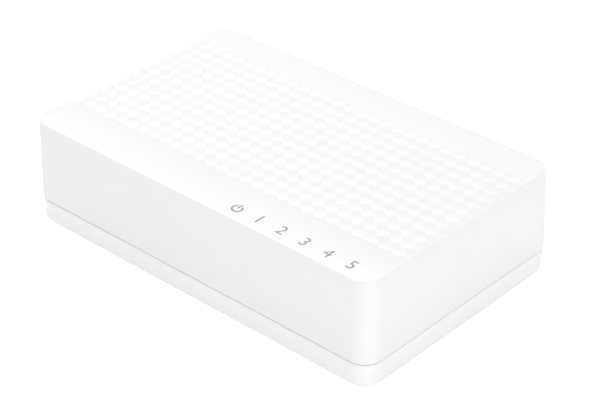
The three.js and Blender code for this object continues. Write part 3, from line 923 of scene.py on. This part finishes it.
screw_low, screw_high = node_box("case_screw_1")
x, y = SCREWS[0]
screw = add_rod(
    "case_screw_1_pan_head", HEAD_RADIUS * MM,
    mm(x, y, screw_low.z), mm(x, y, screw_low.z + HEAD_HEIGHT), 32)
edit(screw)
select_edges(screw, lambda a, b, bend: max(a.z, b.z) < screw_low.z + 0.01)
soften(0.7, 4)
select_faces(screw, lambda c, n: n.z > 0.9)
bpy.ops.mesh.inset(thickness=1.7 * MM, depth=0)
pull_out((0, 0, SHANK * MM))
pull_out((0, 0, (screw_high.z - screw_low.z - HEAD_HEIGHT - SHANK) * MM))
scale_about((x, y, screw_high.z), (0.15, 0.15, 1))
done()
for length, depth in ((3, 0.6), (0.6, 3)):
    low = mm(x - length / 2, y - depth / 2, 1)
    high = mm(x + length / 2, y + depth / 2, screw_low.z + 0.9)
    cut(screw, add_block("cross", low, high))
other = copy_piece(screw, "case_screw_2_pan_head", (SCREWS[1][0] - x, 0, 0))
finish_piece(screw, "case", screw_steel, ("case_screw_1",))
finish_piece(other, "case", screw_steel, ("case_screw_2",))

# %% [markdown]
# ## Network sockets
#
# Each socket is an eight-way modular jack: a black housing whose opening steps in twice at the
# bottom for the plug's latch, with a slotted comb at the back that keeps eight gold wires apart.
# The wires hang from a bar behind the lintel and slope down into the opening, where a plug lifts
# them. A housing and a set of wires are made once, at the first port, and copied to the others.

# %% Socket housing
PORT_PITCH = 16
WIRE_PITCH = 1.02
PORTS = [26.4 - PORT_PITCH * i for i in range(5)]
jack_low, jack_high = node_box("jack_housing_1")
port_x, face_y, seat_z = PORTS[0], jack_high.y, 7.2

housing = add_block("jack_housing_1_shell", mm(jack_low.x, jack_low.y, seat_z), jack_high * MM)
# Half the width, the depth, where it starts, and its bottom and top: the mouth, the two steps
# for the latch, and the channel that the wires hang in.
OPENING = (
    (5.9, 13.0, -1, 3.6, 10.4),
    (3.1, 9.5, -1, 2.3, 3.7),
    (1.7, 9.5, -1, 1.2, 2.4),
    (4.7, 12.5, 1.6, 10.3, 12.4),
)
for half, deep, near, low, high in OPENING:
    cut(housing, add_block("opening", mm(port_x - half, face_y - deep, seat_z + low),
                           mm(port_x + half, face_y - near, seat_z + high)))
for i in range(7):
    x = port_x + (i - 3) * WIRE_PITCH
    cut(housing, add_block("comb", mm(x - 0.12, face_y - 12.7, seat_z + 10.35),
                           mm(x + 0.12, face_y - 8.3, seat_z + 12.6)), operation="UNION")
for x in (port_x - 5.1, port_x + 5.1):
    y = face_y - 8.9
    peg = add_rod("peg", 1.3 * MM, mm(x, y, seat_z - 1.9), mm(x, y, seat_z + 0.5), 20)
    cut(housing, peg, operation="UNION")
edit(housing)
mouth = select_edges(housing, lambda a, b, bend: min(a.y, b.y) > face_y - 0.01 and bend > 60)
soften(0.22, 3)
select_edges(housing, lambda a, b, bend: bend > 80 and min(a.z, b.z) > jack_high.z - 0.01)
soften(0.15, 2)
done()
print("mouth edges", mouth)
housings = [housing] + [
    copy_piece(housing, f"jack_housing_{i + 1}_shell", (-PORT_PITCH * i, 0, 0))
    for i in range(1, len(PORTS))]
for i, piece in enumerate(housings):
    finish_piece(piece, "case", jack_black, (f"jack_housing_{i + 1}",))

# %% Contact wires
WIRE_SLOPE = math.tan(math.radians(28))
HINGE_Y, HINGE_Z = face_y - 2.6, seat_z + 11.4
wire_x = port_x - 3.5 * WIRE_PITCH
wire = add_block("wire", mm(wire_x - 0.23, HINGE_Y - 0.2, HINGE_Z - 0.15),
                 mm(wire_x + 0.23, HINGE_Y + 0.2, HINGE_Z + 0.15))
edit(wire)
select_faces(wire, lambda c, n: n.y < -0.9)
for step in ((0, -5.4, -5.4 * WIRE_SLOPE), (0, -2.3, -0.49)):
    pull_out(Vector(step) * MM)
far_bend = select_edges(
    wire, lambda a, b, bend: abs(a.x - b.x) > 0.1 and 5 < bend < 60 and a.y < HINGE_Y - 1)
soften(0.8, 4)
select_edges(wire, lambda a, b, bend: abs(a.x - b.x) < 0.01 and bend > 80)
soften(0.07, 2)
done()
print("far bend edges", far_bend)
wires = [wire] + [copy_piece(wire, "wire", (WIRE_PITCH * i, 0, 0)) for i in range(1, 8)]
bar = add_block("bar", mm(port_x - 4.4, HINGE_Y - 0.3, HINGE_Z - 0.3),
                mm(port_x + 4.4, HINGE_Y + 0.3, HINGE_Z + 0.3))
soft_bevel(bar, 0.1, 2)
contacts = cut(bar, *wires, operation="UNION")
contacts.name = "jack_contacts_1_wires"
combs = [contacts] + [
    copy_piece(contacts, f"jack_contacts_{i + 1}_wires", (-PORT_PITCH * i, 0, 0))
    for i in range(1, len(PORTS))]
for i, piece in enumerate(combs):
    node = f"jack_contacts_{i + 1}"
    finish_piece(piece, f"contacts_{i + 1}", contact_gold, (node,))

# %% [markdown]
# ## Power socket
#
# A round plug goes over a centre pin, and a springy leaf presses on its side. The housing is a
# block bored from the back, with a low collar round the bore; the pin has a domed nose; the leaf
# rises out of a slot in the bore's floor and turns on its foot when the plug pushes it down.

# %% Power housing and pin
power_low, power_high = node_box("power_jack_housing")
power_x = (power_low.x + power_high.x) / 2
bore_z = seat_z + 6.5
BORE_RADIUS = 3.2


def on_axis(y):
    """A point on the bore's axis."""
    return mm(power_x, y, bore_z)


power = add_block("power_jack_housing_shell", power_low * MM, power_high * MM)
collar = add_rod("collar", 4.0 * MM, on_axis(face_y - 1), on_axis(face_y + 0.35), 48, "Y")
cut(power, collar, operation="UNION")
cut(power,
    add_rod("bore", BORE_RADIUS * MM, on_axis(face_y - 10.5), on_axis(face_y + 1), 48, "Y"),
    add_rod("pin_hole", 1.35 * MM, on_axis(face_y - 14.5), on_axis(face_y - 10), 24, "Y"),
    add_block("leaf_slot", mm(power_x - 1.5, face_y - 11.6, seat_z + 1.4),
              mm(power_x + 1.5, face_y - 2, bore_z - BORE_RADIUS + 0.9)))
edit(power)
select_edges(power, lambda a, b, bend: bend > 60 and min(a.y, b.y) > face_y + 0.34)
soften(0.12, 2)
select_edges(
    power, lambda a, b, bend: bend > 80 and abs(a.y - face_y) < 0.01
    and abs(b.y - face_y) < 0.01 and math.hypot(a.x - power_x, a.z - bore_z) > 4.2)
soften(0.22, 3)
done()
finish_piece(power, "case", jack_black, ("power_jack_housing",))

pin_low, pin_high = node_box("power_jack_pin")
pin = add_rod(
    "power_jack_pin_turned", 1.05 * MM, on_axis(pin_low.y), on_axis(pin_high.y), 32, "Y")
edit(pin)
select_edges(pin, lambda a, b, bend: min(a.y, b.y) > pin_high.y - 0.01)
soften(0.95, 8)
done()
finish_piece(pin, "case", contact_nickel, ("power_jack_pin",))

# %% Leaf spring
LEAF_Y, LEAF_Z = face_y - 10.9, seat_z + 2.6
leaf = add_block("power_jack_leaf_spring", mm(power_x - 1.2, LEAF_Y - 0.3, LEAF_Z - 0.15),
                 mm(power_x + 1.2, LEAF_Y + 0.35, LEAF_Z + 0.15))
edit(leaf)
select_faces(leaf, lambda c, n: n.y > 0.9)
for step in ((0, 6.25, 1.15), (0, 0.85, -0.3)):
    pull_out(Vector(step) * MM)
select_edges(leaf, lambda a, b, bend: abs(a.x - b.x) > 1 and 5 < bend < 60)
soften(0.5, 4)
select_edges(leaf, lambda a, b, bend: abs(a.x - b.x) < 0.01 and bend > 80)
soften(0.06, 2)
done()
finish_piece(leaf, "power_leaf", contact_nickel, ("power_jack_leaf",))

# %% [markdown]
# ## Inside parts
#
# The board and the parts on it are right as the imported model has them: plain moulded bodies, cans
# and discs, seen only through the vents and the sockets. They keep their shapes and get finishes.

# %% Finishes for the parts inside
INSIDE = {
    board_green: ["circuit_board"],
    chip_black: ["switch_chip", "settings_memory", "regulator",
                 *(f"magnetics_{i}" for i in range(1, 6))],
    can_metal: ["crystal"],
    capacitor_sleeve: ["bulk_capacitor_1", "bulk_capacitor_2"],
    ferrite_grey: ["inductor"],
    ceramic_blue: ["surge_capacitor"],
    lamp_clear: ["led_power", *(f"led_port_{i}" for i in range(1, 6))],
    guide_clear: ["light_guide"],
}
for material, names in INSIDE.items():
    for name in names:
        for material_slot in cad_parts[name].material_slots:
            material_slot.material = material
print("inside parts", sum(len(names) for names in INSIDE.values()))

# %% [markdown]
# ## Floor and light
#
# The box stands on a plain white sweep in soft studio light. A moderate dome fills everything,
# and a large panel overhead makes the lid the brightest face. A smaller panel, low and to the
# right of the camera, draws the bright line down the round corner. Two weaker panels light the
# left end and the back. The floor glows strongly to the camera, as a lit sweep does, and only
# slightly to everything else, so it stays white without flooding the case from below. The dome,
# too, is plain white to the camera and dimmer to everything else.

# %% Floor
FLOOR_SEEN = 0.85
FLOOR_GLOW = 0.10

clear_selection()
bpy.ops.mesh.primitive_plane_add(size=6)
floor = bpy.context.object
floor.name = "floor"
sweep = bpy.data.materials.new("white_sweep")
sweep.use_nodes = True
tree = sweep.node_tree
shader = tree.nodes["Principled BSDF"]
shader.inputs["Base Color"].default_value = (0.85, 0.85, 0.85, 1)
shader.inputs["Roughness"].default_value = 0.9
shader.inputs["Specular IOR Level"].default_value = 0.1
shader.inputs["Emission Color"].default_value = (1, 1, 1, 1)
ray = tree.nodes.new("ShaderNodeLightPath")
glow = maths(tree, "MULTIPLY_ADD", ray.outputs["Is Camera Ray"], FLOOR_SEEN - FLOOR_GLOW)
glow.node.inputs[2].default_value = FLOOR_GLOW
tree.links.new(glow, shader.inputs["Emission Strength"])
floor.data.materials.append(sweep)

# %% Lights
DOME = 0.56

world = bpy.data.worlds.new("studio")
bpy.context.scene.world = world
world.use_nodes = True
dome = world.node_tree.nodes["Background"]
dome.inputs["Color"].default_value = (1, 1, 1, 1)
ray = world.node_tree.nodes.new("ShaderNodeLightPath")
strength = maths(world.node_tree, "MULTIPLY_ADD", ray.outputs["Is Camera Ray"], 1 - DOME)
strength.node.inputs[2].default_value = DOME
world.node_tree.links.new(strength, dome.inputs["Strength"])


def add_panel(name, place, aim, size, power):
    """A soft square light that points from one place to another, in metres and watts."""
    clear_selection()
    place = Vector(place)
    bpy.ops.object.light_add(type="AREA", location=place)
    panel = bpy.context.object
    panel.name = name
    panel.data.shape = "RECTANGLE"
    panel.data.size, panel.data.size_y = size
    panel.data.energy = power
    panel.rotation_euler = (Vector(aim) - place).to_track_quat("-Z", "Y").to_euler()
    return panel


PANELS = {
    "panel_overhead": ((-0.35, 0.1, 0.9), (1.0, 1.0), 6.0),
    "panel_corner": ((0.81, -0.55, 0.22), (0.3, 0.4), 3.1),
    "panel_left": ((-0.9, -0.1, 0.3), (0.6, 0.5), 0.8),
    "panel_back": ((0.1, 0.95, 0.3), (0.8, 0.5), 1.7),
}
for name, (place, size, power) in PANELS.items():
    add_panel(name, place, (0, 0, 0.02), size, power)

scene = bpy.context.scene
scene.view_settings.view_transform = "Standard"
scene.view_settings.look = "None"
